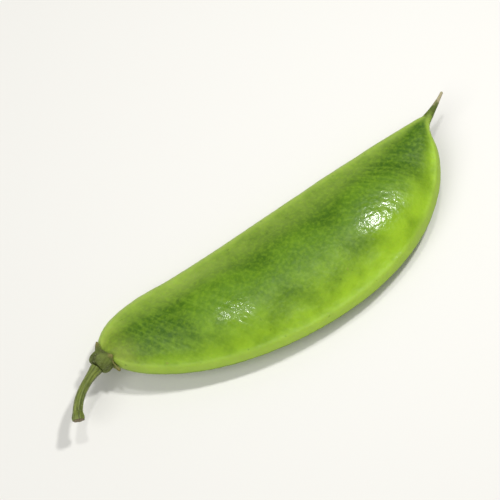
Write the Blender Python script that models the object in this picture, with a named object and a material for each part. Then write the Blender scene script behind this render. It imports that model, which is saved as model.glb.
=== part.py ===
"""A whole lima bean pod as picked, with its calyx and stalk, lying on its broad face.

X runs along the pod from the stalk end to the beak. The straight suture lies on the +Y side, the curved
one on the -Y side, and Z runs through the pod's thickness.
"""

from bisect import bisect_right
from math import atan2, cos, exp, pi, sin, sqrt, tau

import bmesh
import bpy
from mathutils import Vector
from mathutils.geometry import interpolate_bezier

MM = 0.001

# The pod's outline, seen on its broad face: Bezier segments for each suture, in parts of CHORD.
CHORD = 80 * MM
STRAIGHT_SUTURE = (
    ((-0.008, -0.009), (0.004, 0.030), (0.060, 0.069), (0.200, 0.057)),
    ((0.200, 0.057), (0.430, 0.037), (0.780, 0.058), (0.993, 0.023)),
)
CURVED_SUTURE = (
    ((0.004, -0.043), (0.012, -0.128), (0.245, -0.271), (0.535, -0.271)),
    ((0.535, -0.271), (0.815, -0.271), (0.950, -0.134), (0.974, -0.048)),
    ((0.974, -0.048), (0.980, -0.028), (0.986, -0.008), (1.001, -0.001)),
)
SUTURE_STEPS = 120  # points read from each Bezier segment

# The pod's thickness, as half heights over its middle plane.
END_RADIUS = 1.3 * MM  # the neck and the root of the beak are round
VALVE_HEIGHT = 3.5 * MM  # middle of the valve, between two seeds
RIM_HEIGHT = 0.95 * MM  # blunt edge along each suture
FULL_HALF_WIDTH = 13.0 * MM  # half width at which the valve has its whole height
LENS_HALF_WIDTH = 6.0 * MM  # half width from which the round section has become a flat lens
VALVE_GROWTH = 0.85
RIM_SQUARENESS = 8

# The three seeds that show through each valve.
SEED_PLACES = ((0.300, -0.100), (0.522, -0.116), (0.752, -0.114))
SEED_HEIGHTS = (1.03 * MM, 0.87 * MM, 1.07 * MM)
SEED_HALF_LENGTH = 12.5 * MM
SEED_HALF_WIDTH = 10.0 * MM
SEED_TURN = 0.30  # the seeds lean across the pod

# A raised bead runs along both sides of each suture, with a shallow groove inside it.
BEAD_HEIGHT = 0.22 * MM
BEAD_INSET = 0.95 * MM
BEAD_WIDTH = 0.55 * MM
GROOVE_DEPTH = 0.10 * MM
GROOVE_INSET = 2.5 * MM
GROOVE_WIDTH = 0.80 * MM
FURROW_DEPTH = 0.45 * MM  # seam that splits the straight suture

# How the pod is bent and twisted as it lies.
END_LIFT = 1.6 * MM
FLAT_SHARE = 0.50  # middle share of the pod that isn't bent
TWIST = 0.05  # slope across the pod at either end
REST_DEPTH = 0.14 * MM  # how far the seed bulges are flattened where the pod rests

NECK_LENGTH = 1.3 * MM
BEAK_LENGTH = 6.4 * MM
BEAK_TURN = 0.15
BEAK_TIP_RADIUS = 0.28 * MM
BEAK_TAPER = 1.5

POD_SIDES = 36
NECK_STEPS = 2
BODY_STEPS = 92
BEAK_STEPS = 9
END_CROWDING = 0.55  # 0 spaces the rings evenly, 1 crowds them at the pod's ends

# The calyx, a dry cup with pointed lobes that lies on the neck.
GAP = 0.32 * MM
CALYX_WALL = 0.62 * MM
CUP_DEPTH = 2.1 * MM  # from the neck's end to the notches between the lobes
LOBE_LENGTH = 1.3 * MM
LOBE_COUNT = 5
LOBE_SHARPNESS = 1.25
LOBE_FLARE = 0.35 * MM
LOBE_THINNING = 0.60  # share of the wall that a lobe loses towards its tip
CALYX_BASE = 0.9 * MM
CALYX_FOOT_RADIUS = 1.25 * MM
CALYX_FLOOR_SHARE = 0.85  # the flat inside the cup, as a share of its radius
CALYX_SIDES = LOBE_COUNT * 8
CALYX_STEPS = 5
CALYX_BASE_STEPS = 3
NORMAL_STEP = 0.15 * MM  # how far apart the skin is read for its direction
NORMAL_TURN = 0.05

# The stalk, from the calyx to where it came off the plant.
STALK_REACH = ((0.0, 0.0, 0.0), (-3.6, -1.3, 0.3), (-6.9, -3.0, 0.9), (-8.6, -6.6, 0.5))
STALK_RADII = ((0.00, 1.22), (0.10, 1.02), (0.24, 0.84), (0.60, 0.84), (0.86, 0.92), (0.95, 1.18), (1.0, 1.10))
STALK_STEPS = 22
STALK_BEVEL_STEPS = 3

POD_GREEN = (0.115, 0.245, 0.020)
CALYX_OLIVE = (0.120, 0.125, 0.025)
STALK_OLIVE = (0.230, 0.300, 0.050)


def clear_scene():
    for item in list(bpy.data.objects):
        bpy.data.objects.remove(item, do_unlink=True)


def plain_material(name, colour, roughness):
    material = bpy.data.materials.new(name)
    material.use_nodes = True
    shader = material.node_tree.nodes["Principled BSDF"]
    shader.inputs["Base Color"].default_value = (*colour, 1.0)
    shader.inputs["Roughness"].default_value = roughness
    shader.inputs["Metallic"].default_value = 0.0
    return material


def ramp(value, low, high):
    """0 below low, 1 above high, and a smooth rise between them."""
    share = min(max((value - low) / (high - low), 0.0), 1.0)
    return share * share * (3 - 2 * share)


def hump(value, centre, width):
    return exp(-(((value - centre) / width) ** 2))


def suture_line(segments):
    """Points along one suture, with the length up to each, in metres."""
    points = []
    for corners in segments:
        knots = [Vector((x, y, 0.0)) * CHORD for x, y in corners]
        part = interpolate_bezier(*knots, SUTURE_STEPS)
        points += part[1:] if points else part
    lengths = [0.0]
    for before, after in zip(points, points[1:]):
        lengths.append(lengths[-1] + (after - before).length)
    return points, lengths


STRAIGHT_LINE = suture_line(STRAIGHT_SUTURE)
CURVED_LINE = suture_line(CURVED_SUTURE)
BODY_LENGTH = (STRAIGHT_LINE[1][-1] + CURVED_LINE[1][-1]) / 2
POD_LENGTH = NECK_LENGTH + BODY_LENGTH + BEAK_LENGTH


def point_along(line, share):
    """The point at a share of a suture's length."""
    points, lengths = line
    target = share * lengths[-1]
    index = min(bisect_right(lengths, target), len(points) - 1) - 1
    part = (target - lengths[index]) / (lengths[index + 1] - lengths[index])
    return points[index].lerp(points[index + 1], part)


def section(distance):
    """(middle, direction to the straight suture, half width) of the pod at a distance from the neck's end."""
    share = min(max((distance - NECK_LENGTH) / BODY_LENGTH, 0.0), 1.0)
    upper = point_along(STRAIGHT_LINE, share)
    lower = point_along(CURVED_LINE, share)
    middle = (upper + lower) / 2
    across = (upper - lower).normalized()
    half_width = (upper - lower).length / 2
    forward = Vector((across.y, -across.x, 0.0))
    if distance < NECK_LENGTH:
        return middle - forward * (NECK_LENGTH - distance), across, half_width
    beyond = distance - NECK_LENGTH - BODY_LENGTH
    if beyond <= 0:
        return middle, across, half_width
    bend = BEAK_TURN / BEAK_LENGTH
    start = atan2(forward.y, forward.x)
    heading = start + bend * beyond
    middle += Vector((sin(heading) - sin(start), cos(start) - cos(heading), 0.0)) / bend
    across = Vector((-sin(heading), cos(heading), 0.0))
    left = max(1 - beyond / BEAK_LENGTH, 0.0)
    half_width = BEAK_TIP_RADIUS + (half_width - BEAK_TIP_RADIUS) * left**BEAK_TAPER
    return middle, across, half_width


def seed_rise(x, y):
    """Height that the seeds add to a valve."""
    total = 0.0
    for (centre_x, centre_y), height in zip(SEED_PLACES, SEED_HEIGHTS):
        away_x = x - centre_x * CHORD
        away_y = y - centre_y * CHORD
        long_way = (away_x * cos(SEED_TURN) - away_y * sin(SEED_TURN)) / SEED_HALF_LENGTH
        short_way = (away_x * sin(SEED_TURN) + away_y * cos(SEED_TURN)) / SEED_HALF_WIDTH
        inside = max(1 - long_way**2 - short_way**2, 0.0)
        total += height * inside**2 * (3 - 2 * inside)
    return total


def valve_height(side, half_width, x, y):
    """Half thickness of the pod. side runs from -1 at the curved suture to 1 at the straight one."""
    end = min(half_width, END_RADIUS)
    growth = max(half_width - END_RADIUS, 0.0) / (FULL_HALF_WIDTH - END_RADIUS)
    middle = end + (VALVE_HEIGHT - END_RADIUS) * min(growth, 1.0) ** VALVE_GROWTH
    flatness = ramp(half_width, END_RADIUS, LENS_HALF_WIDTH)
    round_form = middle * sqrt(1 - side**2)
    rim = RIM_HEIGHT * sqrt(1 - side**RIM_SQUARENESS)
    lens_form = rim + (middle - RIM_HEIGHT) * (1 - side**2)
    inset = (1 - abs(side)) * half_width
    bead = BEAD_HEIGHT * hump(inset, BEAD_INSET, BEAD_WIDTH)
    groove = GROOVE_DEPTH * hump(inset, GROOVE_INSET, GROOVE_WIDTH)
    return round_form + (lens_form + bead - groove - round_form) * flatness + seed_rise(x, y) * flatness


def pose(point, side_offset):
    """The point with the pod's bend and twist. side_offset is how far it lies towards the straight suture."""
    from_middle = (point.x - CHORD / 2) / (CHORD / 2)
    past_flat = max(abs(from_middle) - FLAT_SHARE, 0.0) / (1 - FLAT_SHARE)
    lift = END_LIFT * past_flat**2
    return Vector((point.x, point.y, point.z + lift + TWIST * from_middle * side_offset))


def pod_point(distance, angle):
    """A point of the pod's skin. angle is 0 at the straight suture, a quarter turn on top, half at the curved."""
    middle, across, half_width = section(distance)
    side = cos(angle)
    furrow = FURROW_DEPTH * ramp(half_width, END_RADIUS, LENS_HALF_WIDTH) * (side > 1 - 1e-6)
    reach = side * half_width - furrow
    point = middle + across * reach
    height = valve_height(side, half_width, point.x, point.y)
    point.z = height if sin(angle) >= 0 else -height
    return pose(point, reach)


def crowded(share):
    """Turns even steps into steps that are shorter at both ends."""
    return share + END_CROWDING * ((1 - cos(pi * share)) / 2 - share)


def ring_distances():
    """Where the pod's rings stand along it."""
    neck = [NECK_LENGTH * i / NECK_STEPS for i in range(NECK_STEPS)]
    body = [NECK_LENGTH + BODY_LENGTH * crowded(i / BODY_STEPS) for i in range(BODY_STEPS)]
    beak = [NECK_LENGTH + BODY_LENGTH + BEAK_LENGTH * i / BEAK_STEPS for i in range(BEAK_STEPS + 1)]
    return neck + body + beak


def loft(name, rings, first_pole, last_pole):
    """A closed mesh object through rings of equally many points, closed by a point at either end."""
    mesh = bmesh.new()
    loops = [[mesh.verts.new(point) for point in ring] for ring in rings]
    sides = len(rings[0])
    for before, after in zip(loops, loops[1:]):
        for i in range(sides):
            j = (i + 1) % sides
            mesh.faces.new((before[i], before[j], after[j], after[i]))
    for loop, pole in ((loops[0], first_pole), (loops[-1], last_pole)):
        tip = mesh.verts.new(pole)
        for i in range(sides):
            mesh.faces.new((loop[i], loop[(i + 1) % sides], tip))
    bmesh.ops.recalc_face_normals(mesh, faces=mesh.faces)
    data = bpy.data.meshes.new(name)
    mesh.to_mesh(data)
    mesh.free()
    data.shade_smooth()
    item = bpy.data.objects.new(name, data)
    bpy.context.scene.collection.objects.link(item)
    return item


def neck_frame():
    """(middle of the neck's end, direction out of the pod there)."""
    middle, across = section(0.0)[:2]
    return pose(middle, 0.0), Vector((-across.y, across.x, 0.0))


def build_pod():
    angles = [tau * i / POD_SIDES for i in range(POD_SIDES)]
    rings = [[pod_point(distance, angle) for angle in angles] for distance in ring_distances()]
    neck_end, outward = neck_frame()
    tip_middle, tip_across, tip_radius = section(POD_LENGTH)
    onward = Vector((tip_across.y, -tip_across.x, 0.0))
    tip = pose(tip_middle + onward * tip_radius, 0.0)
    pod = loft("pod", rings, neck_end, tip)
    pod.data.materials.append(plain_material("pod_skin", POD_GREEN, 0.32))
    return pod


def flatten_underside(pod):
    """Flattens the lowest of the seed bulges, which the pod rests on, and returns the height of that flat."""
    floor = min(vertex.co.z for vertex in pod.data.vertices) + REST_DEPTH
    for vertex in pod.data.vertices:
        vertex.co.z = max(vertex.co.z, floor)
    return floor


def lobe_share(angle):
    """0 in the notch between two lobes and 1 at a lobe's tip."""
    turn = angle * LOBE_COUNT / tau
    return (1 - abs(1 - 2 * (turn % 1))) ** LOBE_SHARPNESS


def skin_normal(distance, angle):
    """Outward direction of the pod's skin near the neck."""
    along = pod_point(distance + NORMAL_STEP, angle) - pod_point(max(distance - NORMAL_STEP, 0.0), angle)
    around = pod_point(distance, angle + NORMAL_TURN) - pod_point(distance, angle - NORMAL_TURN)
    return around.cross(along).normalized()


def calyx_point(angle, reach, outside):
    """A point of the calyx. reach is 0 at the neck's end and 1 at the edge of the cup or the lobe's tip."""
    lobe = lobe_share(angle)
    distance = reach * (CUP_DEPTH + LOBE_LENGTH * lobe)
    wall = CALYX_WALL * (1 - LOBE_THINNING * reach)
    flare = LOBE_FLARE * lobe * reach**3
    offset = GAP + flare + (wall if outside else 0.0)
    return pod_point(distance, angle) + skin_normal(distance, angle) * offset


def base_ring(angles, radius, depth):
    """A ring round the neck's axis, a depth beyond the neck's end."""
    centre, outward = neck_frame()
    across = section(0.0)[1]
    spokes = [across * cos(angle) + Vector((0.0, 0.0, sin(angle))) for angle in angles]
    return [centre + outward * depth + spoke * radius for spoke in spokes]


def build_calyx():
    angles = [tau * i / CALYX_SIDES for i in range(CALYX_SIDES)]
    inner_radius = section(0.0)[2] + GAP
    outer_radius = inner_radius + CALYX_WALL
    foot_depth = GAP + CALYX_BASE
    rings = []
    for step in range(CALYX_BASE_STEPS):
        turn = pi / 2 * step / CALYX_BASE_STEPS
        radius = CALYX_FOOT_RADIUS + (outer_radius - CALYX_FOOT_RADIUS) * sin(turn)
        rings.append(base_ring(angles, radius, foot_depth * cos(turn)))
    reaches = [step / CALYX_STEPS for step in range(CALYX_STEPS + 1)]
    rings += [[calyx_point(angle, reach, True) for angle in angles] for reach in reaches]
    rings += [[calyx_point(angle, reach, False) for angle in angles] for reach in reversed(reaches)]
    rings.append(base_ring(angles, inner_radius * CALYX_FLOOR_SHARE, GAP))
    centre, outward = neck_frame()
    calyx = loft("calyx", rings, centre + outward * foot_depth, centre + outward * GAP)
    calyx.data.materials.append(plain_material("calyx_tissue", CALYX_OLIVE, 0.75))
    return calyx


def stalk_radius(share):
    """The stalk's radius at a share of its length: thick at the calyx, and swollen where it broke off."""
    for (before, start), (after, end) in zip(STALK_RADII, STALK_RADII[1:]):
        if share <= after:
            return (start + (end - start) * ramp(share, before, after)) * MM
    return STALK_RADII[-1][1] * MM


def build_stalk():
    centre, outward = neck_frame()
    start = centre + outward * (GAP + CALYX_BASE + GAP)
    knots = [start + Vector(reach) * MM for reach in STALK_REACH]
    knots[1] = start + outward * (knots[1] - start).length
    route = interpolate_bezier(*knots, STALK_STEPS)
    curve = bpy.data.curves.new("stalk", "CURVE")
    curve.dimensions = "3D"
    curve.bevel_depth = MM
    curve.bevel_resolution = STALK_BEVEL_STEPS
    curve.use_fill_caps = True
    spline = curve.splines.new("POLY")
    spline.points.add(len(route) - 1)
    for index, (point, place) in enumerate(zip(spline.points, route)):
        point.co = (*place, 1.0)
        point.radius = stalk_radius(index / (len(route) - 1)) / MM
    stalk = bpy.data.objects.new("stalk", curve)
    bpy.context.scene.collection.objects.link(stalk)
    curve.materials.append(plain_material("stalk_tissue", STALK_OLIVE, 0.55))
    return stalk


def stand_at_origin(pieces, floor):
    """Hangs the pieces on an empty that puts the middle of their floor area at the origin."""
    bpy.context.view_layer.update()
    graph = bpy.context.evaluated_depsgraph_get()
    corners = []
    for piece in pieces:
        shape = piece.evaluated_get(graph).to_mesh()
        corners += [vertex.co.copy() for vertex in shape.vertices]
    middle_x = (min(c.x for c in corners) + max(c.x for c in corners)) / 2
    middle_y = (min(c.y for c in corners) + max(c.y for c in corners)) / 2
    holder = bpy.data.objects.new("lima_bean_pod", None)
    bpy.context.scene.collection.objects.link(holder)
    holder.location = (-middle_x, -middle_y, -floor)
    for piece in pieces:
        piece.parent = holder


def main():
    clear_scene()
    pod = build_pod()
    floor = flatten_underside(pod)
    stand_at_origin([pod, build_calyx(), build_stalk()], floor)


main()
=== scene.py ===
from math import cos, pi, radians, sin, tau

import bpy
import numpy as np
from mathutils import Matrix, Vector
from mathutils.geometry import interpolate_bezier


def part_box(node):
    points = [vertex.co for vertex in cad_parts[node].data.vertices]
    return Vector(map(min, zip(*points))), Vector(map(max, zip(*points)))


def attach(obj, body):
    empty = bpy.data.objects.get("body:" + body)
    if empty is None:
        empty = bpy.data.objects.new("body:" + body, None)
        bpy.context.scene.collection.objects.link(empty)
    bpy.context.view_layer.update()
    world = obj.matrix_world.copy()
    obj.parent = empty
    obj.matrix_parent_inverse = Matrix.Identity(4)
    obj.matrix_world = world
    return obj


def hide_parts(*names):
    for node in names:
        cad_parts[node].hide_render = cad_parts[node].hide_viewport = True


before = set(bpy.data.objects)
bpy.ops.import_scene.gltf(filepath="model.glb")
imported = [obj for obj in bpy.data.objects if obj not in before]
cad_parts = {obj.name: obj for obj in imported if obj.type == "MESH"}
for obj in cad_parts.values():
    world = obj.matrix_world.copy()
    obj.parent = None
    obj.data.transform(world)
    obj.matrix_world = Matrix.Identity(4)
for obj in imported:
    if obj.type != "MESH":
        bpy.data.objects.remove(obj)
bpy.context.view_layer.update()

# A green lima bean pod as picked, lying on its broad face. The pod is lofted between its two sutures, and
# node trees raise its seeds, rims and veins. The calyx follows the pod's skin, and the stalk its own route.

mm = 0.001

# the kinds of node that come up most, and their settings
scalar, vector, joined = "ShaderNodeMath", "ShaderNodeVectorMath", "ShaderNodeCombineXYZ"
mapped, noise, voronoi = "ShaderNodeMapRange", "ShaderNodeTexNoise", "ShaderNodeTexVoronoi"
named, stored = "GeometryNodeInputNamedAttribute", "GeometryNodeStoreNamedAttribute"
moved = "GeometryNodeSetPosition"
operations = "MULTIPLY", "MULTIPLY_ADD", "SUBTRACT", "SCALE"
multiply, multiplyAdd, subtract, scaleBy = [{"operation": name} for name in operations]
# a mapped node takes a value, where it starts and where it ends, and what it gives at each
smoothly = {"interpolation_type": "SMOOTHSTEP"}


def hexColour(code):
    # sRGB hex to the linear values that shaders work in
    parts = [int(code[i:i + 2], 16) / 255 for i in (1, 3, 5)]
    linear = [p / 12.92 if p <= 0.04045 else ((p + 0.055) / 1.055) ** 2.4 for p in parts]
    return (*linear, 1.0)


def fillInputs(tree, node, inputs):
    # sets a node's inputs, and links those whose value is another node's output
    for key, value in inputs.items():
        if isinstance(value, bpy.types.NodeSocket):
            tree.links.new(value, node.inputs[key])
        else:
            node.inputs[key].default_value = value


def addNode(tree, kind, settings=None, inputs=None, out=0):
    # adds a node, sets it up, fills or links its inputs, and hands back one of its outputs
    node = tree.nodes.new(kind)
    for name, value in (settings or {}).items():
        setattr(node, name, value)
    fillInputs(tree, node, inputs or {})
    return node.outputs[out]


def newGeometryTree(name, sizes):
    # a tree that takes and gives geometry, with one named input for each size
    tree = bpy.data.node_groups.new(name, "GeometryNodeTree")
    tree.interface.new_socket("Geometry", in_out="INPUT", socket_type="NodeSocketGeometry")
    for title, value in sizes.items():
        kind = "Int" if isinstance(value, int) else "Float" if isinstance(value, float) else "Material"
        socket = tree.interface.new_socket(title, in_out="INPUT", socket_type="NodeSocket" + kind)
        socket.default_value = value
    tree.interface.new_socket("Geometry", in_out="OUTPUT", socket_type="NodeSocketGeometry")
    return tree, tree.nodes.new("NodeGroupInput").outputs, tree.nodes.new("NodeGroupOutput").inputs


def unevenness(tree, place, size, finer):
    # noise with features of the given size, as often below nothing as above it
    scale = addNode(tree, scalar, {"operation": "DIVIDE"}, {0: 1.0, 1: size})
    pattern = addNode(tree, noise, None, {"Vector": place, "Scale": scale, **finer}, "Fac")
    return addNode(tree, scalar, subtract, {0: pattern, 1: 0.5})


def pushOut(tree, shape, relief):
    # moves a skin along its own outward direction
    normal = addNode(tree, "GeometryNodeInputNormal")
    push = addNode(tree, vector, scaleBy, {0: normal, "Scale": relief})
    return addNode(tree, moved, None, {"Geometry": shape, "Offset": push})


def endTree(tree, given, result, shape):
    # the result is real geometry in the piece's own material
    shape = addNode(tree, "GeometryNodeRealizeInstances", None, {"Geometry": shape})
    shape = addNode(tree, "GeometryNodeSetMaterial", None, {"Geometry": shape, "Material": given["Material"]})
    tree.links.new(shape, result["Geometry"])
    return tree


def growAndBake(item, tree, sizes):
    # runs the tree on the object, and leaves its result as a plain mesh at the origin
    modifier = item.modifiers.new("growth", "NODES")
    modifier.node_group = tree
    for socket in tree.interface.items_tree:
        if socket.in_out == "INPUT" and socket.name in sizes:
            modifier[socket.identifier] = sizes[socket.name]
    bpy.context.view_layer.update()
    graph = bpy.context.evaluated_depsgraph_get()
    shape = item.evaluated_get(graph)
    mesh = bpy.data.meshes.new_from_object(shape, preserve_all_data_layers=True, depsgraph=graph)
    name = item.name
    bpy.data.objects.remove(item)
    baked = bpy.data.objects.new(name, mesh)
    mesh.name = name
    bpy.context.scene.collection.objects.link(baked)
    return baked


def meshObject(name, points, faces, values=None, edges=()):
    # a mesh object with one attribute on its points for each entry of values
    mesh = bpy.data.meshes.new(name)
    mesh.from_pydata(points.tolist(), edges, faces)
    for title, data in (values or {}).items():
        kind, field = ("FLOAT", "value") if data.ndim == 1 else ("FLOAT_VECTOR", "vector")
        mesh.attributes.new(title, kind, "POINT").data.foreach_set(field, data.astype(np.float32).ravel())
    mesh.shade_smooth()
    item = bpy.data.objects.new(name, mesh)
    bpy.context.scene.collection.objects.link(item)
    return item


def loftFaces(rings, sides):
    # quads between rings that follow one another, then a fan of triangles to the pole at either end
    faces = []
    for r in range(rings - 1):
        for s in range(sides):
            t = (s + 1) % sides
            faces.append((r * sides + s, r * sides + t, (r + 1) * sides + t, (r + 1) * sides + s))
    firstPole, lastPole = rings * sides, rings * sides + 1
    last = (rings - 1) * sides
    for s in range(sides):
        t = (s + 1) % sides
        faces.append((t, s, firstPole))
        faces.append((last + s, last + t, lastPole))
    return faces


# The pod's form. Outline points are parts of the chord, the straight line from neck to beak.
podForm = {
    "chord": 80 * mm,
    "straightSuture": (
        ((-0.008, -0.009), (0.004, 0.030), (0.060, 0.069), (0.200, 0.057)),
        ((0.200, 0.057), (0.430, 0.037), (0.780, 0.058), (0.993, 0.023)),
    ),
    "curvedSuture": (
        ((0.004, -0.043), (0.012, -0.128), (0.245, -0.271), (0.535, -0.271)),
        ((0.535, -0.271), (0.815, -0.271), (0.950, -0.134), (0.974, -0.048)),
        ((0.974, -0.048), (0.980, -0.028), (0.986, -0.008), (1.001, -0.001)),
    ),
    "curvePoints": 200,           # points along each stretch of a suture
    "neckLength": 1.3 * mm,
    "beakLength": 6.4 * mm,
    "beakTurn": 0.15,
    "beakTipRadius": 0.28 * mm,
    "beakTaper": 1.5,
    "endRadius": 1.3 * mm,        # the neck and the root of the beak are round
    "valveHeight": 3.5 * mm,      # half the thickness between two seeds
    "rimHeight": 0.95 * mm,
    "fullHalfWidth": 13.0 * mm,   # where the valve reaches its whole height
    "lensHalfWidth": 6.0 * mm,    # where the section has turned from round to a flat lens
    "valveGrowth": 0.85,
    "rimSquareness": 8,
    "endLift": 1.6 * mm,          # both ends rise off the table
    "flatShare": 0.50,
    "twist": 0.05,
    "restDepth": 0.14 * mm,       # how much of each seed bulge is pressed flat underneath
    "rings": 430,
    "sides": 216,
}


def sutureLine(segments):
    # points along a suture, and the length up to each
    points = []
    for corners in segments:
        knots = [Vector((x, y, 0)) * podForm["chord"] for x, y in corners]
        points += interpolate_bezier(*knots, podForm["curvePoints"])[1 if points else 0:]
    points = np.array([p[:2] for p in points])
    steps = np.hypot(*np.diff(points, axis=0).T)
    return points, np.concatenate([[0], np.cumsum(steps)])


straightLine, straightLength = sutureLine(podForm["straightSuture"])
curvedLine, curvedLength = sutureLine(podForm["curvedSuture"])
bodyLength = (straightLength[-1] + curvedLength[-1]) / 2
podLength = podForm["neckLength"] + bodyLength + podForm["beakLength"]


def podSections(distance):
    # middle, direction to the straight suture and half width, at distances from the neck's end
    share = np.clip((distance - podForm["neckLength"]) / bodyLength, 0, 1)
    rails = []
    for line, length in ((straightLine, straightLength), (curvedLine, curvedLength)):
        rails.append(np.stack([np.interp(share * length[-1], length, line[:, k]) for k in (0, 1)], -1))
    span = rails[0] - rails[1]
    halfWidth = np.hypot(span[:, 0], span[:, 1]) / 2
    across = span / (2 * halfWidth[:, None])
    forward = np.stack([across[:, 1], -across[:, 0]], -1)
    before = np.minimum(distance - podForm["neckLength"], 0)
    middle = (rails[0] + rails[1]) / 2 + forward * before[:, None]
    # past the pod's round end the beak goes on along an arc and tapers
    beyond = np.maximum(distance - podForm["neckLength"] - bodyLength, 0)
    bend = podForm["beakTurn"] / podForm["beakLength"]
    start = np.arctan2(forward[:, 1], forward[:, 0])
    heading = start + bend * beyond
    middle += np.stack([np.sin(heading) - np.sin(start), np.cos(start) - np.cos(heading)], -1) / bend
    across = np.where(beyond[:, None] > 0, np.stack([-np.sin(heading), np.cos(heading)], -1), across)
    left = np.clip(1 - beyond / podForm["beakLength"], 0, 1) ** podForm["beakTaper"]
    tip = podForm["beakTipRadius"]
    halfWidth = np.where(beyond > 0, tip + (halfWidth - tip) * left, halfWidth)
    return middle, across, halfWidth


def smoothRamp(value, low, high):
    share = np.clip((value - low) / (high - low), 0, 1)
    return share * share * (3 - 2 * share)


def lieDown(points, reach):
    # bends the ends up, twists the pod a little, and puts it where the solid lies
    fromMiddle = points[..., 0] / (podForm["chord"] / 2) - 1
    pastFlat = np.maximum(np.abs(fromMiddle) - podForm["flatShare"], 0) / (1 - podForm["flatShare"])
    points[..., 2] += podForm["endLift"] * pastFlat ** 2 + podForm["twist"] * fromMiddle * reach
    return points + podPlace


def findPodPlace():
    # the solid's box says where the pod lies: its beak's tip, its belly and its height
    low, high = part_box("pod")
    middle, across, tipRadius = podSections(np.array([podLength]))
    tipX = middle[0, 0] + across[0, 1] * tipRadius[0]
    bellyY = curvedLine[:, 1].min()
    return np.array([high.x - tipX, low.y - bellyY, (high.z - low.z - podForm["restDepth"]) / 2])


podPlace = findPodPlace()


def onPod(x, y):
    # a place in parts of the chord, as a point of the frame's ground plane
    return (x * podForm["chord"] + podPlace[0], y * podForm["chord"] + podPlace[1], 0)


def lensPoints(distance, angle):
    # the pod without its seeds and rims, for every distance and every angle round it
    middle, across, halfWidth = podSections(distance)
    side, rise = np.cos(angle)[None, :], np.sin(angle)[None, :]
    half = halfWidth[:, None]
    end = np.minimum(half, podForm["endRadius"])
    growth = np.clip((half - podForm["endRadius"]) / (podForm["fullHalfWidth"] - podForm["endRadius"]), 0, 1)
    crown = end + (podForm["valveHeight"] - podForm["endRadius"]) * growth ** podForm["valveGrowth"]
    flatness = smoothRamp(half, podForm["endRadius"], podForm["lensHalfWidth"])
    rim = podForm["rimHeight"] * np.sqrt(np.clip(1 - side ** podForm["rimSquareness"], 0, 1))
    lens = rim + (crown - podForm["rimHeight"]) * (1 - side ** 2)
    height = crown * np.abs(rise) * (1 - flatness) + lens * flatness
    reach = side * half
    points = np.empty((len(distance), len(angle), 3))
    points[..., :2] = middle[:, None] + across[:, None] * reach[..., None]
    # rounded, because the sine isn't quite nothing at the curved suture
    points[..., 2] = height * np.sign(np.round(rise, 9))
    values = {
        "side": side + 0 * half,
        "face": rise + 0 * half,
        "halfWidth": half + 0 * side,
        "reach": reach,
        "flatness": flatness + 0 * side,
        "distance": distance[:, None] + 0 * side,
        "across": np.stack([across[:, None, k] + 0 * side for k in (0, 1)] + [0 * reach], -1),
    }
    return lieDown(points, reach), values


# What the pod's tree adds to the lofted lens.
podSurface = {
    "Seed Height A": 1.03 * mm,
    "Seed Height B": 0.87 * mm,
    "Seed Height C": 1.07 * mm,
    "Seed Half Length": 12.5 * mm,
    "Seed Half Width": 10.0 * mm,
    "Seed Turn": 0.30,
    "Bead Height": 0.22 * mm,
    "Bead Inset": 0.95 * mm,
    "Bead Width": 0.55 * mm,
    "Groove Depth": 0.10 * mm,
    "Groove Inset": 2.5 * mm,
    "Groove Width": 0.80 * mm,
    "Furrow Depth": 0.40 * mm,
    "Swell Height": 0.22 * mm,     # slow unevenness of the valve
    "Swell Size": 9.0 * mm,
    "Vein Height": 0.028 * mm,     # slanting net veins
    "Vein Spacing": 1.7 * mm,
    "Vein Lean": 0.55,
    "Wander Reach": 0.9 * mm,
    "Wander Scale": 260.0,         # features in a metre
    "Fading Scale": 120.0,
    "Grain Height": 0.13 * mm,     # pebbled skin, a little coarser than life so that it shows
    "Grain Size": 1.5 * mm,
    "Wrinkle Height": 0.08 * mm,   # lengthwise folds at the neck and the beak
    "Wrinkle Size": 0.9 * mm,
}
seedPlaces = ((0.300, -0.100), (0.522, -0.116), (0.752, -0.114))  # parts of the chord


def seedBulge(tree, given, place):
    # a smooth oval bulge on both faces round each seed's centre
    flat = addNode(tree, vector, multiply, {0: place, 1: (1, 1, 0)})
    oval = addNode(tree, joined, None,
                   {"X": given["Seed Half Length"], "Y": given["Seed Half Width"], "Z": 1.0})
    bulge = 0.0
    for letter, (x, y) in zip("ABC", seedPlaces):
        away = addNode(tree, vector, subtract, {0: flat, 1: onPod(x, y)})
        turned = addNode(tree, "ShaderNodeVectorRotate", {"rotation_type": "Z_AXIS"},
                         {"Vector": away, "Angle": given["Seed Turn"]})
        scaled = addNode(tree, vector, {"operation": "DIVIDE"}, {0: turned, 1: oval})
        squared = addNode(tree, vector, {"operation": "DOT_PRODUCT"}, {0: scaled, 1: scaled}, "Value")
        height = given["Seed Height " + letter]
        dome = addNode(tree, mapped, smoothly, {0: squared, 1: 1.0, 2: 0.0, 3: 0.0, 4: height})
        bulge = addNode(tree, scalar, {"operation": "ADD"}, {0: dome, 1: bulge})
    return bulge


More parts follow.
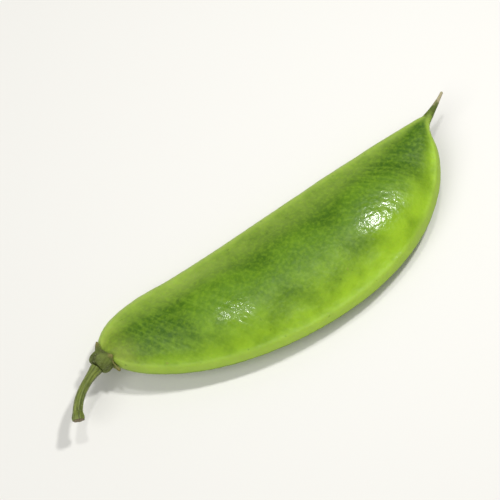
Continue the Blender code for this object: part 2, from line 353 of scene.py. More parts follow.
def rimsAndBulge(tree, given, values, bulge):
    # the seeds, a raised bead beside each suture, and a shallow groove inside it
    nearness = addNode(tree, scalar, {"operation": "ABSOLUTE"}, {0: values["side"]})
    fromRim = addNode(tree, scalar, subtract, {0: 1.0, 1: nearness})
    inset = addNode(tree, scalar, multiply, {0: fromRim, 1: values["halfWidth"]})
    raised = bulge
    for part, size, sign in (("Bead", "Height", 1.0), ("Groove", "Depth", -1.0)):
        away = addNode(tree, scalar, subtract, {0: inset, 1: given[part + " Inset"]})
        scaled = addNode(tree, scalar, {"operation": "DIVIDE"}, {0: away, 1: given[part + " Width"]})
        squared = addNode(tree, scalar, multiply, {0: scaled, 1: scaled})
        falling = addNode(tree, scalar, multiply, {0: squared, 1: -1.0})
        hump = addNode(tree, scalar, {"operation": "EXPONENT"}, {0: falling})
        signed = addNode(tree, scalar, multiply, {0: hump, 1: sign})
        raised = addNode(tree, scalar, multiplyAdd,
                         {0: signed, 1: given[part + " " + size], 2: raised})
    onLens = addNode(tree, scalar, multiply, {0: raised, 1: values["flatness"]})
    # it points up on the upper face and down on the lower one
    faceSign = addNode(tree, mapped, None, {0: values["face"], 1: -0.02, 2: 0.02, 3: -1.0, 4: 1.0})
    lift = addNode(tree, scalar, multiply, {0: onLens, 1: faceSign})
    return addNode(tree, joined, None, {"Z": lift})


def sutureFurrow(tree, given, values):
    # the straight suture is split by a furrow that cuts in across the pod
    furrow = addNode(tree, mapped, smoothly,
                     {0: values["side"], 1: 0.984, 2: 1.0, 3: 0.0, 4: given["Furrow Depth"]})
    furrow = addNode(tree, scalar, multiply, {0: furrow, 1: values["flatness"]})
    across = addNode(tree, named, {"data_type": "FLOAT_VECTOR"}, {"Name": "across"})
    return addNode(tree, vector, scaleBy, {0: across, "Scale": furrow})


def netVeins(tree, given, values, place):
    # cell edges drawn out across the pod, leaning towards the beak, that fade here and there
    height = addNode(tree, "ShaderNodeSeparateXYZ", None, {"Vector": place}, "Z")
    leaning = addNode(tree, scalar, multiplyAdd,
                      {0: values["reach"], 1: given["Vein Lean"], 2: values["distance"]})
    net = addNode(tree, joined, None, {"X": leaning, "Y": values["reach"], "Z": height})
    drawnOut = addNode(tree, vector, multiply, {0: net, 1: (1.0, 0.26, 0.5)})
    wander = addNode(tree, noise, None,
                     {"Vector": drawnOut, "Scale": given["Wander Scale"], "Detail": 2.0}, "Color")
    wander = addNode(tree, vector, scaleBy, {0: wander, "Scale": given["Wander Reach"]})
    drawnOut = addNode(tree, vector, {"operation": "ADD"}, {0: drawnOut, 1: wander})
    scale = addNode(tree, scalar, {"operation": "DIVIDE"}, {0: 1.0, 1: given["Vein Spacing"]})
    edges = {"feature": "DISTANCE_TO_EDGE"}
    vein = addNode(tree, voronoi, edges, {"Vector": drawnOut, "Scale": scale}, "Distance")
    vein = addNode(tree, mapped, smoothly, {0: vein, 1: 0.20, 2: 0.0, 3: 0.0, 4: 1.0})
    fading = addNode(tree, noise, None,
                     {"Vector": drawnOut, "Scale": given["Fading Scale"], "Detail": 1.0}, "Fac")
    fading = addNode(tree, mapped, None, {0: fading, 1: 0.38, 2: 0.62, 3: 0.15, 4: 1.0})
    return addNode(tree, scalar, multiply, {0: vein, 1: fading})


def skinRelief(tree, given, values, place, vein):
    # veins, pebbled grain, slow swell, and folds at both ends
    lengthwise = addNode(tree, vector, multiply, {0: place, 1: (0.12, 1.0, 1.0)})
    half = values["halfWidth"]
    atEnds = addNode(tree, mapped, smoothly, {0: half, 1: 5.5 * mm, 2: 1.2 * mm, 3: 0.0, 4: 1.0})
    offTip = addNode(tree, mapped, None, {0: half, 1: 0.3 * mm, 2: 1.0 * mm, 3: 0.25, 4: 1.0})
    relief = addNode(tree, scalar, multiply, {0: vein, 1: given["Vein Height"]})
    for name, pattern, detail, mask in (
        ("Grain", place, 2.0, offTip),
        ("Swell", place, 1.0, values["flatness"]),
        ("Wrinkle", lengthwise, 1.0, atEnds),
    ):
        uneven = unevenness(tree, pattern, given[name + " Size"], {"Detail": detail})
        masked = addNode(tree, scalar, multiply, {0: uneven, 1: mask})
        relief = addNode(tree, scalar, multiplyAdd,
                         {0: masked, 1: given[name + " Height"], 2: relief})
    return relief


def keepOffTable(tree, shape, place):
    # nothing goes through the table
    height = addNode(tree, "ShaderNodeSeparateXYZ", None, {"Vector": place}, "Z")
    sunk = addNode(tree, scalar, {"operation": "MINIMUM"}, {0: height, 1: 0.0})
    rise = addNode(tree, scalar, {"operation": "ABSOLUTE"}, {0: sunk})
    upward = addNode(tree, joined, None, {"Z": rise})
    return addNode(tree, moved, None, {"Geometry": shape, "Offset": upward})


def makePodTree(sizes):
    tree, given, result = newGeometryTree("podGrowth", sizes)
    values = {}
    for title in ("side", "face", "halfWidth", "reach", "flatness", "distance"):
        values[title] = addNode(tree, named, {"data_type": "FLOAT"}, {"Name": title})
    place = addNode(tree, "GeometryNodeInputPosition")
    bulge = seedBulge(tree, given, place)
    upward = rimsAndBulge(tree, given, values, bulge)
    inward = sutureFurrow(tree, given, values)
    form = addNode(tree, vector, subtract, {0: upward, 1: inward})
    shape = addNode(tree, moved, None, {"Geometry": given["Geometry"], "Offset": form})
    # the skin's colours follow the seeds and the veins
    seedShare = addNode(tree, scalar, {"operation": "DIVIDE"}, {0: bulge, 1: given["Seed Height B"]})
    vein = netVeins(tree, given, values, place)
    for title, value in (("seedShare", seedShare), ("vein", vein)):
        shape = addNode(tree, stored, {"data_type": "FLOAT", "domain": "POINT"},
                        {"Geometry": shape, "Name": title, "Value": value})
    shape = pushOut(tree, shape, skinRelief(tree, given, values, place, vein))
    return endTree(tree, given, result, keepOffTable(tree, shape, place))


def buildPod(skin):
    angle = np.arange(podForm["sides"]) * tau / podForm["sides"]
    distance = np.linspace(0, podLength, podForm["rings"])
    points, values = lensPoints(distance, angle)
    # each end closes at a pole, and the beak's is a tip's radius further on
    ends, ringAcross, ringHalf = podSections(np.array([0, podLength]))
    poles = np.zeros((2, 3))
    poles[:, :2] = ends
    poles[1, :2] += np.array([ringAcross[1, 1], -ringAcross[1, 0]]) * ringHalf[1]
    poles = lieDown(poles, np.zeros(2))
    allPoints = np.concatenate([points.reshape(-1, 3), poles])
    allValues = {}
    for title, data in values.items():
        flat = data.reshape(-1, 3) if data.ndim == 3 else data.ravel()
        allValues[title] = np.concatenate([flat, flat[[0, -1]]])
    pod = meshObject("podSkin", allPoints, loftFaces(podForm["rings"], podForm["sides"]), allValues)
    sizes = {**podSurface, "Material": skin}
    pod = growAndBake(pod, makePodTree(sizes), sizes)
    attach(pod, "root")
    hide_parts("pod")
    return pod


calyxForm = {
    "gap": 0.20 * mm,
    "wall": 0.62 * mm,
    "cupDepth": 2.1 * mm,
    "lobeLength": 1.3 * mm,
    "lobeCount": 5,
    "lobeSharpness": 1.25,
    "lobeFlare": 0.35 * mm,
    "lobeThinning": 0.60,
    "baseDepth": 1.22 * mm,
    "footRadius": 1.25 * mm,
    "floorShare": 0.85,
    "sides": 120,
    "baseSteps": 10,
    "wallSteps": 22,
    "skinSteps": 60,         # the pod's skin under the calyx is read at so many distances
    "skinMargin": 1.05,
}
calyxSurface = {
    "Rib Height": 0.16 * mm,
    "Rib Sharpness": 7.0,
    "Crinkle Height": 0.30 * mm,
    "Crinkle Size": 0.9 * mm,
}


def neckFrame():
    # the neck's end: its centre, the direction out of it, the direction across it, and its radius
    middle, across, half = podSections(np.array([0.0]))
    centre = lieDown(np.array([[*middle[0], 0.0]]), np.zeros(1))[0]
    outward = np.array([-across[0, 1], across[0, 0], 0.0])
    return centre, outward, np.array([*across[0], 0.0]), half[0]


def lobeShare(angle):
    # 0 in the notch between two lobes, 1 at a lobe's tip
    turn = angle * calyxForm["lobeCount"] / tau
    return (1 - np.abs(1 - 2 * (turn % 1))) ** calyxForm["lobeSharpness"]


def skinUnderCalyx(angle):
    # the pod's skin on a fine grid of distances and angles, with its outward direction
    longest = calyxForm["cupDepth"] + calyxForm["lobeLength"]
    grid = np.linspace(0, longest * calyxForm["skinMargin"], calyxForm["skinSteps"])
    skin, _ = lensPoints(grid, angle)
    along = np.gradient(skin, axis=0)
    around = np.roll(skin, -1, axis=1) - np.roll(skin, 1, axis=1)
    direction = np.cross(around, along)
    direction /= np.linalg.norm(direction, axis=-1, keepdims=True)
    return grid, skin, direction


def between(distance, grid, layer):
    # a layer of the grid, read at each angle's own distance
    place = distance / grid[-1] * (len(grid) - 1)
    low = np.minimum(place.astype(int), len(grid) - 2)
    part = (place - low)[:, None]
    columns = np.arange(len(distance))
    return layer[low, columns] * (1 - part) + layer[low + 1, columns] * part


def baseRings(spokes):
    # rings out over the calyx's base, whose shares rise from -1 to 0
    centre, outward, _, neckRadius = neckFrame()
    widening = neckRadius + calyxForm["gap"] + calyxForm["wall"] - calyxForm["footRadius"]
    rings, shares = [], []
    for step in range(calyxForm["baseSteps"]):
        turn = pi / 2 * step / calyxForm["baseSteps"]
        radius = calyxForm["footRadius"] + widening * sin(turn)
        rings.append(centre + outward * calyxForm["baseDepth"] * cos(turn) + spokes * radius)
        shares.append(np.full(len(spokes), -1 + step / calyxForm["baseSteps"]))
    return rings, shares


def wallRings(angle):
    # rings up the outside of the cup and its lobes, with shares from 0 to 1, and down the inside, with 2 more
    lobe = lobeShare(angle)
    grid, skin, direction = skinUnderCalyx(angle)
    rings, shares = [], []
    reaches = np.linspace(0, 1, calyxForm["wallSteps"] + 1)
    for outside in (True, False):
        for reach in reaches if outside else reaches[::-1]:
            distance = reach * (calyxForm["cupDepth"] + calyxForm["lobeLength"] * lobe)
            offset = calyxForm["gap"] + calyxForm["lobeFlare"] * lobe * reach ** 3
            if outside:
                offset = offset + calyxForm["wall"] * (1 - calyxForm["lobeThinning"] * reach)
            away = between(distance, grid, direction) * offset[:, None]
            rings.append(between(distance, grid, skin) + away)
            shares.append(reach * lobe if outside else reach * lobe + 2)
    return rings, shares


def buildCalyx(tissue):
    angle = np.arange(calyxForm["sides"]) * tau / calyxForm["sides"]
    centre, outward, across, neckRadius = neckFrame()
    spokes = across[None] * np.cos(angle)[:, None] + np.array([0, 0, 1.0])[None] * np.sin(angle)[:, None]
    base, baseShares = baseRings(spokes)
    wall, wallShares = wallRings(angle)
    floorRadius = (neckRadius + calyxForm["gap"]) * calyxForm["floorShare"]
    floor = centre + outward * calyxForm["gap"] + spokes * floorRadius
    rings = base + wall + [floor]
    # the shares tell the colour where it is: on the base, up the outside, or inside
    shares = baseShares + wallShares + [np.full(len(angle), 2.0)]
    poles = [centre + outward * calyxForm["baseDepth"], centre + outward * calyxForm["gap"]]
    points = np.concatenate([*rings, poles])
    values = {
        "lobe": np.concatenate([*shares, [-1.0, 2.0]]),
        "turn": np.concatenate([np.tile(angle, len(rings)), [0.0, 0.0]]),
    }
    calyx = meshObject("calyxCup", points, loftFaces(len(rings), len(angle)), values)
    sizes = {**calyxSurface, "Lobes": calyxForm["lobeCount"], "Material": tissue}
    calyx = growAndBake(calyx, makeCalyxTree(sizes), sizes)
    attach(calyx, "root")
    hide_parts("calyx")
    return calyx


def makeCalyxTree(sizes):
    # a rib up the middle of each lobe and the crinkles of a withered cup
    tree, given, result = newGeometryTree("calyxGrowth", sizes)
    turn = addNode(tree, named, {"data_type": "FLOAT"}, {"Name": "turn"})
    place = addNode(tree, "GeometryNodeInputPosition")
    waves = addNode(tree, scalar, multiply, {0: turn, 1: given["Lobes"]})
    ribs = addNode(tree, scalar, {"operation": "COSINE"}, {0: waves})
    ribs = addNode(tree, scalar, {"operation": "ABSOLUTE"}, {0: ribs})
    ribs = addNode(tree, scalar, {"operation": "POWER"}, {0: ribs, 1: given["Rib Sharpness"]})
    ribs = addNode(tree, mapped, None, {0: ribs, 1: 0.0, 2: 1.0, 3: 0.0, 4: given["Rib Height"]})
    crinkle = unevenness(tree, place, given["Crinkle Size"], {"Detail": 3.0, "Roughness": 0.6})
    relief = addNode(tree, scalar, multiplyAdd, {0: crinkle, 1: given["Crinkle Height"], 2: ribs})
    return endTree(tree, given, result, pushOut(tree, given["Geometry"], relief))


stalkForm = {
    "start": 1.54 * mm,            # how far out of the neck's end it begins
    "reach": ((0.0, 0.0, 0.0), (-3.6, -1.3, 0.3), (-6.9, -3.0, 0.9), (-8.6, -6.6, 0.5)),  # millimetres
    "radii": ((0.0, 1.22), (0.10, 1.02), (0.24, 0.84), (0.60, 0.84), (0.86, 0.92), (0.95, 1.18), (1.0, 1.10)),
    "steps": 150,
    "capRings": 11,                # each end closes over a few rings, so a broken face has its own surface
    "firstCap": 0.12 * mm,
    "lastCap": 0.16 * mm,
}
stalkSurface = {
    "Profile Sides": 72,
    "Ridges": 7.0,
    "Ridge Depth": 0.055,          # share of the radius
    "Fibre Height": 0.05 * mm,
    "Fibre Size": 0.35 * mm,
}


def makeStalkTree(sizes):
    # a ridged round profile swept along the route, with the radius that the route's points carry
    tree, given, result = newGeometryTree("stalkGrowth", sizes)
    ring = addNode(tree, "GeometryNodeCurvePrimitiveCircle", None,
                   {"Resolution": given["Profile Sides"], "Radius": 1.0})
    place = addNode(tree, "GeometryNodeInputPosition")
    ring = addNode(tree, stored, {"data_type": "FLOAT_VECTOR", "domain": "POINT"},
                   {"Geometry": ring, "Name": "ringPlace", "Value": place})
    axes = addNode(tree, "ShaderNodeSeparateXYZ", None, {"Vector": place}).node.outputs
    angle = addNode(tree, scalar, {"operation": "ARCTAN2"}, {0: axes["Y"], 1: axes["X"]})
    waves = addNode(tree, scalar, multiply, {0: angle, 1: given["Ridges"]})
    ridge = addNode(tree, scalar, {"operation": "COSINE"}, {0: waves})
    swelling = addNode(tree, scalar, multiplyAdd, {0: ridge, 1: given["Ridge Depth"], 2: 1.0})
    swollen = addNode(tree, vector, scaleBy, {0: place, "Scale": swelling})
    ring = addNode(tree, moved, None, {"Geometry": ring, "Position": swollen})
    radius = addNode(tree, named, {"data_type": "FLOAT"}, {"Name": "thickness"})
    route = addNode(tree, "GeometryNodeMeshToCurve", None, {"Mesh": given["Geometry"]})
    shape = addNode(tree, "GeometryNodeCurveToMesh", None,
                    {"Curve": route, "Profile Curve": ring, "Scale": radius, "Fill Caps": False})
    shape = addNode(tree, "GeometryNodeMergeByDistance", None, {"Geometry": shape, "Distance": 0.0002 * mm})
    fibre = unevenness(tree, place, given["Fibre Size"], {"Detail": 3.0})
    relief = addNode(tree, scalar, multiply, {0: fibre, 1: given["Fibre Height"]})
    shape = pushOut(tree, shape, relief)
    shape = addNode(tree, "GeometryNodeSetShadeSmooth", None, {"Geometry": shape})
    return endTree(tree, given, result, shape)


def stalkLine():
    # points along the stalk and over both its ends, with its radius and how far along they are
    centre, outward, _, _ = neckFrame()
    start = Vector(centre) + Vector(outward) * stalkForm["start"]
    knots = [start + Vector(reach) * mm for reach in stalkForm["reach"]]
    knots[1] = start + Vector(outward) * (knots[1] - start).length
    route = np.array(interpolate_bezier(*knots, stalkForm["steps"]))
    share = np.linspace(0, 1, len(route))
    radius = np.interp(share, *np.array(stalkForm["radii"]).T) * mm
    closing = np.linspace(0, 1, stalkForm["capRings"] + 1)[:-1]
    narrow = np.sqrt(closing)
    back = (route[0] - route[1]) / np.linalg.norm(route[0] - route[1])
    heading = (route[-1] - route[-2]) / np.linalg.norm(route[-1] - route[-2])
    firstCap = route[0] + back * (stalkForm["firstCap"] * (1 - closing))[:, None]
    lastCap = route[-1] + heading * (stalkForm["lastCap"] * (1 - closing[::-1]))[:, None]
    none, whole = np.zeros(len(closing)), np.ones(len(closing))
    values = {
        "thickness": np.concatenate([radius[0] * narrow, radius, radius[-1] * narrow[::-1]]),
        "along": np.concatenate([none, share, whole]),
        "brokenEnd": np.concatenate([none, share * 0, whole]),
    }
    return np.concatenate([firstCap, route, lastCap]), values


def buildStalk(tissue):
    points, values = stalkLine()
    edges = [(i, i + 1) for i in range(len(points) - 1)]
    stalk = meshObject("stalkStem", points, [], values, edges)
    sizes = {**stalkSurface, "Material": tissue}
    stalk = growAndBake(stalk, makeStalkTree(sizes), sizes)
    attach(stalk, "root")
    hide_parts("stalk")
    return stalk


hairSizes = {
    "Hairs per Square Metre": 5.0e6,
    "Hair Length": 0.32 * mm,
    "Hair Radius": 0.016 * mm,
    "Root Height": -0.02 * mm,     # the root is under the skin
    "Shortest": 0.5,               # share of the length
    "Lean": 0.6,
    "Turn": 3.14,                  # half a turn either way
    "Seed": 7,
}


def makeHairTree(sizes):
    # short soft hairs scattered over a skin, leaning every way, and none on the stalk's broken end
    tree, given, result = newGeometryTree("hairGrowth", sizes)
    broken = addNode(tree, named, {"data_type": "FLOAT"}, {"Name": "brokenEnd"})
    whole = addNode(tree, scalar, {"operation": "LESS_THAN"}, {0: broken, 1: 0.5})
    density = addNode(tree, scalar, multiply, {0: whole, 1: given["Hairs per Square Metre"]})
    roots = addNode(tree, "GeometryNodeDistributePointsOnFaces", None,
                    {"Mesh": given["Geometry"], "Density": density, "Seed": given["Seed"]})
    hair = addNode(tree, "GeometryNodeMeshCone", None,
                   {"Vertices": 4, "Radius Bottom": given["Hair Radius"], "Radius Top": 0.0,
                    "Depth": given["Hair Length"]}, "Mesh")
    sunk = addNode(tree, joined, None, {"Z": given["Root Height"]})
    hair = addNode(tree, moved, None, {"Geometry": hair, "Offset": sunk})
    highest = addNode(tree, joined, None, {"X": given["Lean"], "Y": given["Lean"], "Z": given["Turn"]})
    lowest = addNode(tree, vector, scaleBy, {0: highest, "Scale": -1.0})
    lean = addNode(tree, "FunctionNodeRandomValue", {"data_type": "FLOAT_VECTOR"},
                   {0: lowest, 1: highest, "Seed": given["Seed"]})
    turned = addNode(tree, "FunctionNodeRotateRotation", {"rotation_space": "LOCAL"},
                     {"Rotation": roots.node.outputs["Rotation"], "Rotate By": lean})
    size = addNode(tree, "FunctionNodeRandomValue", {"data_type": "FLOAT"},
                   {2: given["Shortest"], 3: 1.0, "Seed": given["Seed"]}, 1)
    hairs = addNode(tree, "GeometryNodeInstanceOnPoints", None,
                    {"Points": roots, "Instance": hair, "Rotation": turned, "Scale": size})
    return endTree(tree, given, result, hairs)


def buildHairs(name, skin, tree, sizes):
    copy = bpy.data.objects.new(name, skin.data.copy())
    bpy.context.scene.collection.objects.link(copy)
    hairs = growAndBake(copy, tree, sizes)
    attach(hairs, "root")
    return hairs


def newMaterial(name):
    material = bpy.data.materials.new(name)
    material.use_nodes = True
    tree = material.node_tree
    return material, tree, tree.nodes["Principled BSDF"]


def mottling(tree, place, size, finer, span, most, step=None):
    # a mask made of noise with features of the given size, which grows over the given span of the noise
    pattern = addNode(tree, noise, None, {"Vector": place, "Scale": 1 / size, **finer}, "Fac")
    return addNode(tree, mapped, step, {0: pattern, 1: span[0], 2: span[1], 3: 0.0, 4: most})


def layColours(tree, colour, layers):
    # lays one colour over another, as thickly as its mask says
    for code, mask in layers:
        mixed = {0: mask, 6: colour, 7: hexColour(code)}
        colour = addNode(tree, "ShaderNodeMix", {"data_type": "RGBA"}, mixed, 2)
    return colour


podLook = {
    "skin": "#53790d",
    "skinDark": "#3c6005",
    "valleyShade": "#375b04",      # painted shade in the dips between two seeds
    "belly": "#98bd27",       # paler band along the curved suture, partly its own tissue and partly painted light
    "overSeed": "#618814",
    "rim": "#a0ba4e",         # thickened edges of the sutures
    "seamShade": "#5c7420",        # painted shade: a darker line where the two halves meet
    "vein": "#86aa32",
    "streak": "#3d6408",
    "neck": "#9aa843",
    "beak": "#46511c",        # the beak dries first
    "tip": "#a69c7c",
    "fleck": "#35520e",
    "scuff": "#8a8440",
    "toneSize": 13.333 * mm,
    "streakSize": 2.3256 * mm,
    "patchSize": 4.0 * mm,
    "cellSize": 0.71429 * mm,     # groups of cells, coarser than life so that they show
    "fleckSize": 2.6316 * mm,
    "fleckEdge": 0.45455 * mm,
    "fleckRaggedness": 0.9 * mm,
    "scuffSize": 5.2632 * mm,
    "dryingRaggedness": 7.0 * mm,
    # the beak's and the tip's colours: how far from the end each starts and is whole, and how strong it is
    "drying": ((7.5 * mm, 4.0 * mm, 0.9), (3.2 * mm, 0.8 * mm, 0.95)),
    "glossSize": 1.1111 * mm,
    "poreSize": 0.83333 * mm,     # larger than life, to break the highlights into specks
    "poreDepth": 0.09 * mm,
    # rubbed places, in parts of the chord, and how far they reach
    "polished": ((0.298, -0.128, 4.5 * mm), (0.740, -0.158, 8 * mm)),
}


def growthTones(tree, values, where):
    # leaf green, paler over the seeds, along both sutures and at the neck; darker between the seeds as
    # painted shade, and the pale band along the curved suture partly painted light
    side, distance, seedShare = values["side"], values["distance"], values["seedShare"]
    tone = mottling(tree, where, podLook["toneSize"], {"Detail": 3.0}, (0.35, 0.68), 1.0)
    onSeed = addNode(tree, mapped, smoothly, {0: seedShare, 1: 0.55, 2: 1.0, 3: 0.0, 4: 0.6})
    # the pale band along the curved suture is partly its own paler tissue and partly painted light, which
    # grows towards the beak
    nearBeak = addNode(tree, mapped, None, {0: distance, 1: 12.0 * mm, 2: 60.0 * mm, 3: 0.65, 4: 1.30})
    belly = addNode(tree, mapped, smoothly, {0: side, 1: 0.05, 2: -1.0, 3: 0.0, 4: nearBeak})
    inside = addNode(tree, mapped, smoothly, {0: side, 1: -0.80, 2: -0.20, 3: 0.0, 4: 0.65})
    # painted shade: darker in the dips between the seed bulges, fading out near the curved suture
    valleyShade = addNode(tree, mapped, smoothly, {0: seedShare, 1: 0.95, 2: 0.30, 3: 0.0, 4: inside})
    nearNeck = addNode(tree, mapped, None, {0: distance, 1: 38.0 * mm, 2: 12.0 * mm, 3: 0.55, 4: 0.95})
    shoulder = addNode(tree, mapped, smoothly, {0: side, 1: 0.30, 2: 0.88, 3: 0.0, 4: nearNeck})
    atNeck = addNode(tree, mapped, smoothly, {0: distance, 1: 13.0 * mm, 2: 3.0 * mm, 3: 0.0, 4: 0.65})
    return [("skinDark", tone), ("overSeed", onSeed), ("belly", belly), ("valleyShade", valleyShade),
            ("rim", shoulder), ("neck", atNeck)]


def tissueMarks(tree, values, where):
    # streaks of darker tissue that slant with the veins, patches, veins, rims, and a painted shade line where
    # the two halves meet
    leaning = addNode(tree, scalar, multiplyAdd,
                      {0: values["reach"], 1: podSurface["Vein Lean"], 2: values["distance"]})
    height = addNode(tree, "ShaderNodeSeparateXYZ", None, {"Vector": where}, "Z")
    slant = addNode(tree, joined, None, {"X": leaning, "Y": values["reach"], "Z": height})
    slant = addNode(tree, vector, multiply, {0: slant, 1: (1.0, 0.16, 0.3)})
    finer = {"Detail": 3.0, "Roughness": 0.55}
    streaks = mottling(tree, slant, podLook["streakSize"], finer, (0.40, 0.75), 0.15)
    patches = mottling(tree, where, podLook["patchSize"], {"Detail": 3.0}, (0.42, 0.66), 0.38)
    veins = addNode(tree, scalar, multiply, {0: values["vein"], 1: 0.20})
    nearness = addNode(tree, scalar, {"operation": "ABSOLUTE"}, {0: values["side"]})
    fromRim = addNode(tree, scalar, subtract, {0: 1.0, 1: nearness})
    inset = addNode(tree, scalar, multiply, {0: fromRim, 1: values["halfWidth"]})
    rim = addNode(tree, mapped, smoothly, {0: inset, 1: 1.9 * mm, 2: 0.5 * mm, 3: 0.0, 4: 0.75})
    # painted shade: a thin darker line where the two halves meet, at both sutures
    seamShade = addNode(tree, mapped, smoothly, {0: nearness, 1: 0.9965, 2: 0.9995, 3: 0.0, 4: 0.6})
    return [("streak", streaks), ("skinDark", patches), ("vein", veins), ("rim", rim), ("seamShade", seamShade)]


def wearMarks(tree, where, cells):
    # mottling of groups of cells, a few darker flecks with ragged edges, and scuffs
    ragged = addNode(tree, noise, None,
                     {"Vector": where, "Scale": 1 / podLook["fleckEdge"], "Detail": 2.0}, "Color")
    ragged = addNode(tree, vector, scaleBy, {0: ragged, "Scale": podLook["fleckRaggedness"]})
    ragged = addNode(tree, vector, {"operation": "ADD"}, {0: where, 1: ragged})
    flecks = addNode(tree, voronoi, None, {"Vector": ragged, "Scale": 1 / podLook["fleckSize"]}, "Distance")
    flecks = addNode(tree, mapped, smoothly, {0: flecks, 1: 0.13, 2: 0.03, 3: 0.0, 4: 0.4})
    finer = {"Detail": 6.0, "Roughness": 0.7}
    scuffs = mottling(tree, where, podLook["scuffSize"], finer, (0.66, 0.76), 0.55, smoothly)
    return [("belly", cells), ("fleck", flecks), ("scuff", scuffs)]


def dryBeak(tree, values, cells):
    # the beak dries in a ragged front
    front = addNode(tree, scalar, multiplyAdd,
                    {0: cells, 1: podLook["dryingRaggedness"], 2: values["distance"]})
    masks = []
    for starts, ends, most in podLook["drying"]:
        span = {0: front, 1: podLength - starts, 2: podLength - ends, 3: 0.0, 4: most}
        masks.append(addNode(tree, mapped, smoothly, span))
    return masks


def rubbedPlaces(tree, where):
    # the bloom is rubbed off over the first and the last seed
    flat = addNode(tree, vector, multiply, {0: where, 1: (1, 1, 0)})
    polish = 0.0
    for x, y, radius in podLook["polished"]:
        away = addNode(tree, vector, {"operation": "DISTANCE"}, {0: flat, 1: onPod(x, y)}, "Value")
        rubbed = addNode(tree, mapped, smoothly, {0: away, 1: radius, 2: radius * 0.45, 3: 0.0, 4: 1.0})
        polish = addNode(tree, scalar, {"operation": "MAXIMUM"}, {0: rubbed, 1: polish})
    return polish


def makePodMaterial():
    # Fresh legume skin with a thin wax bloom: leaf green, paler where it is stretched or thick, and glossy in
    # specks. The pale band along the curved suture is partly painted light, and the dips between the seeds
    # and the line where the halves meet carry painted shade. Where the bloom is whole the skin is duller.
    material, tree, shader = newMaterial("freshPodSkin")
    where = addNode(tree, "ShaderNodeTexCoord", None, None, "Object")
    values = {}
    for title in ("side", "halfWidth", "reach", "distance", "vein", "seedShare"):
        values[title] = addNode(tree, "ShaderNodeAttribute", {"attribute_name": title}, None, "Fac")
    cells = mottling(tree, where, podLook["cellSize"], {"Detail": 2.0}, (0.42, 0.75), 0.25)
    atBeak, atTip = dryBeak(tree, values, cells)
    layers = growthTones(tree, values, where) + tissueMarks(tree, values, where)
    layers += wearMarks(tree, where, cells) + [("beak", atBeak), ("tip", atTip)]
    layers = [(podLook[name], mask) for name, mask in layers]
    colour = layColours(tree, hexColour(podLook["skin"]), layers)

    polish = rubbedPlaces(tree, where)
    gloss = addNode(tree, noise, None,
                    {"Vector": where, "Scale": 1 / podLook["glossSize"], "Detail": 3.0}, "Fac")
    gloss = addNode(tree, mapped, None, {0: gloss, 1: 0.3, 2: 0.7, 3: 0.44, 4: 0.56})
    gloss = addNode(tree, scalar, multiplyAdd, {0: polish, 1: -0.24, 2: gloss})
    dull = addNode(tree, scalar, multiplyAdd, {0: atBeak, 1: 0.2, 2: gloss})
    wax = addNode(tree, scalar, multiply, {0: polish, 1: 0.28})
    pores = addNode(tree, noise, None,
                    {"Vector": where, "Scale": 1 / podLook["poreSize"], "Detail": 2.0}, "Fac")
    bump = addNode(tree, "ShaderNodeBump", None,
                   {"Strength": 1.0, "Distance": podLook["poreDepth"], "Height": pores})
    fillInputs(tree, shader, {
        "Base Color": colour,
        "Roughness": dull,
        "Normal": bump,
        "Specular IOR Level": 0.22,
        "Coat Weight": wax,
        "Coat Normal": bump,
        "Coat Roughness": 0.12,
        "Subsurface Weight": 0.12,
        "Subsurface Radius": (0.6, 1.0, 0.2),
        "Subsurface Scale": 1.2 * mm,
    })
    return material


def tissueBump(tree, where, look):
    # fine unevenness, too small for the mesh
    fine = addNode(tree, noise, None, {"Vector": where, "Scale": 1 / look["grainSize"], "Detail": 3.0}, "Fac")
    return addNode(tree, "ShaderNodeBump", None,
                   {"Strength": look["grainStrength"], "Distance": look["grainDepth"], "Height": fine})


calyxLook = {
    "tissue": "#66742a",
    "dark": "#434c12",
    "dry": "#857a40",
    "blotchSize": 1.5385 * mm,
    "grainSize": 0.28571 * mm,
    "grainDepth": 0.05 * mm,
    "grainStrength": 0.6,
}


def makeCalyxMaterial():
    # Withered calyx: thin olive tissue gone brown at its edges, with no gloss.
    material, tree, shader = newMaterial("witheredCalyx")
    where = addNode(tree, "ShaderNodeTexCoord", None, None, "Object")
    lobe = addNode(tree, "ShaderNodeAttribute", {"attribute_name": "lobe"}, None, "Fac")
    blotch = mottling(tree, where, calyxLook["blotchSize"], {"Detail": 4.0}, (0.35, 0.65), 1.0)
    dry = addNode(tree, mapped, smoothly, {0: lobe, 1: 0.45, 2: 1.0, 3: 0.0, 4: 0.8})
    layers = ((calyxLook["dark"], blotch), (calyxLook["dry"], dry))
    fillInputs(tree, shader, {
        "Base Color": layColours(tree, hexColour(calyxLook["tissue"]), layers),
        "Normal": tissueBump(tree, where, calyxLook),
        "Roughness": 0.72,
    })
    return material


stalkLook = {
    "skin": "#7c8834",
    "dark": "#65722a",
    "fibre": "#3f4a14",
    "torn": "#8f7c45",
    "tornDark": "#4d4221",
    "blotchSize": 2.0833 * mm,
    "fibreSize": 0.25,            # share of the stalk's radius, and of its length
    "strandSize": 0.26316 * mm,   # fibre ends in the torn face
    "grainSize": 0.3125 * mm,
    "grainDepth": 0.04 * mm,
    "grainStrength": 0.4,
}


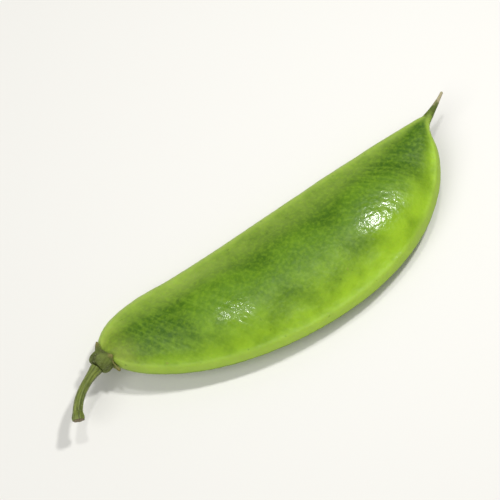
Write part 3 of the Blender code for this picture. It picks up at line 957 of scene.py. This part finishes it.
def makeStalkMaterial():
    # Flower stalk: pale olive green with darker lengthwise fibres, satin, and brown where it broke.
    material, tree, shader = newMaterial("flowerStalk")
    where = addNode(tree, "ShaderNodeTexCoord", None, None, "Object")
    broken = addNode(tree, "ShaderNodeAttribute", {"attribute_name": "brokenEnd"}, None, "Fac")
    blotch = mottling(tree, where, stalkLook["blotchSize"], {"Detail": 4.0}, (0.35, 0.65), 1.0)
    # the fibres are drawn out along the stalk and seamless round it
    around = addNode(tree, "ShaderNodeAttribute", {"attribute_name": "ringPlace"}, None, "Vector")
    along = addNode(tree, "ShaderNodeAttribute", {"attribute_name": "along"}, None, "Fac")
    lengthwise = addNode(tree, joined, None, {"Z": along})
    lengthwise = addNode(tree, vector, {"operation": "ADD"}, {0: around, 1: lengthwise})
    finer = {"Detail": 4.0, "Roughness": 0.65}
    fibres = mottling(tree, lengthwise, stalkLook["fibreSize"], finer, (0.42, 0.62), 0.8, smoothly)
    layers = ((stalkLook["dark"], blotch), (stalkLook["fibre"], fibres))
    colour = layColours(tree, hexColour(stalkLook["skin"]), layers)
    strands = addNode(tree, voronoi, None,
                      {"Vector": where, "Scale": 1 / stalkLook["strandSize"]}, "Distance")
    strands = addNode(tree, mapped, None, {0: strands, 1: 0.15, 2: 0.65, 3: 0.0, 4: 1.0})
    torn = layColours(tree, hexColour(stalkLook["torn"]), [(stalkLook["tornDark"], strands)])
    colour = addNode(tree, "ShaderNodeMix", {"data_type": "RGBA"}, {0: broken, 6: colour, 7: torn}, 2)
    fillInputs(tree, shader, {
        "Base Color": colour,
        "Normal": tissueBump(tree, where, stalkLook),
        "Roughness": 0.5,
    })
    return material


hairLook = {"pale": "#d9d8b4", "dark": "#a9a777", "shadeSize": 1.1111 * mm}


def makeHairMaterial():
    # Plant hair: colourless cells that catch the light as a pale fuzz.
    material, tree, shader = newMaterial("plantHair")
    where = addNode(tree, "ShaderNodeTexCoord", None, None, "Object")
    shade = addNode(tree, noise, None, {"Vector": where, "Scale": 1 / hairLook["shadeSize"]}, "Fac")
    colour = layColours(tree, hexColour(hairLook["pale"]), [(hairLook["dark"], shade)])
    fillInputs(tree, shader, {"Base Color": colour, "Roughness": 0.45})
    return material


stage = {
    "floorSize": 4.0,
    "floorColour": "#e6e4de",
    "worldColour": "#f2f4f6",
    "worldStrength": 0.30,
    "azimuth": -37.6,          # turns the pod so that its chord rises to the right, as in the photograph
    "elevation": 63.0,
    "lens": 135.0,
    "distance": 0.36,
    "aim": (-0.0013, 0.0089, 0.003),
}


def buildStage():
    half = stage["floorSize"] / 2
    corners = np.array([(-half, -half, 0), (half, -half, 0), (half, half, 0), (-half, half, 0)])
    floor = meshObject("floor", corners, [(0, 1, 2, 3)])
    # Painted table top: matt and pale, so that only the pod's shadow marks it.
    material, tree, shader = newMaterial("paleTable")
    fillInputs(tree, shader, {"Base Color": hexColour(stage["floorColour"]), "Roughness": 0.65})
    floor.data.materials.append(material)
    world = bpy.data.worlds.new("softRoom")
    bpy.context.scene.world = world
    world.use_nodes = True
    fillInputs(world.node_tree, world.node_tree.nodes["Background"],
               {"Color": hexColour(stage["worldColour"]), "Strength": stage["worldStrength"]})
    bpy.context.scene.view_settings.view_transform = "Standard"


lights = (
    # name, azimuth and elevation it shines from, distance, size, watts
    ("keyLight", 88, 67, 0.28, 0.030, 0.38),
    ("overhead", 160, 78, 0.90, 0.08, 1.3),
    ("softFront", -80, 48, 1.00, 0.70, 5.2),
)


def aimFrom(item, azimuth, elevation, distance):
    # puts a lamp or a camera at a distance from the aim, and turns it to look there
    a, e = radians(azimuth), radians(elevation)
    back = Vector((sin(a) * cos(e), -cos(a) * cos(e), sin(e)))
    item.location = Vector(stage["aim"]) + back * distance
    item.rotation_euler = (-back).to_track_quat("-Z", "Y").to_euler()
    bpy.context.scene.collection.objects.link(item)


def buildLights():
    for name, azimuth, elevation, distance, size, watts in lights:
        data = bpy.data.lights.new(name, "AREA")
        data.shape = "DISK"
        data.size = size
        data.energy = watts
        aimFrom(bpy.data.objects.new(name, data), azimuth, elevation, distance)


def buildCamera():
    data = bpy.data.cameras.new("photoCamera")
    data.lens = stage["lens"]
    data.clip_start = 0.01
    camera = bpy.data.objects.new("photoCamera", data)
    aimFrom(camera, stage["azimuth"], stage["elevation"], stage["distance"])
    bpy.context.scene.camera = camera


buildStage()
buildLights()
buildCamera()
print("stage, lights and camera ready")

pod = buildPod(makePodMaterial())
print("pod:", len(pod.data.polygons), "faces")
calyx = buildCalyx(makeCalyxMaterial())
print("calyx:", len(calyx.data.polygons), "faces")
stalk = buildStalk(makeStalkMaterial())
print("stalk:", len(stalk.data.polygons), "faces")
hairSizes["Material"] = makeHairMaterial()
hairTree = makeHairTree(hairSizes)
for name, skin, slot in (("calyxHairs", calyx, "calyx_tissue"), ("stalkHairs", stalk, "stalk_tissue")):
    hairs = buildHairs(name, skin, hairTree, hairSizes)
    print(name + ":", len(hairs.data.polygons), "faces")
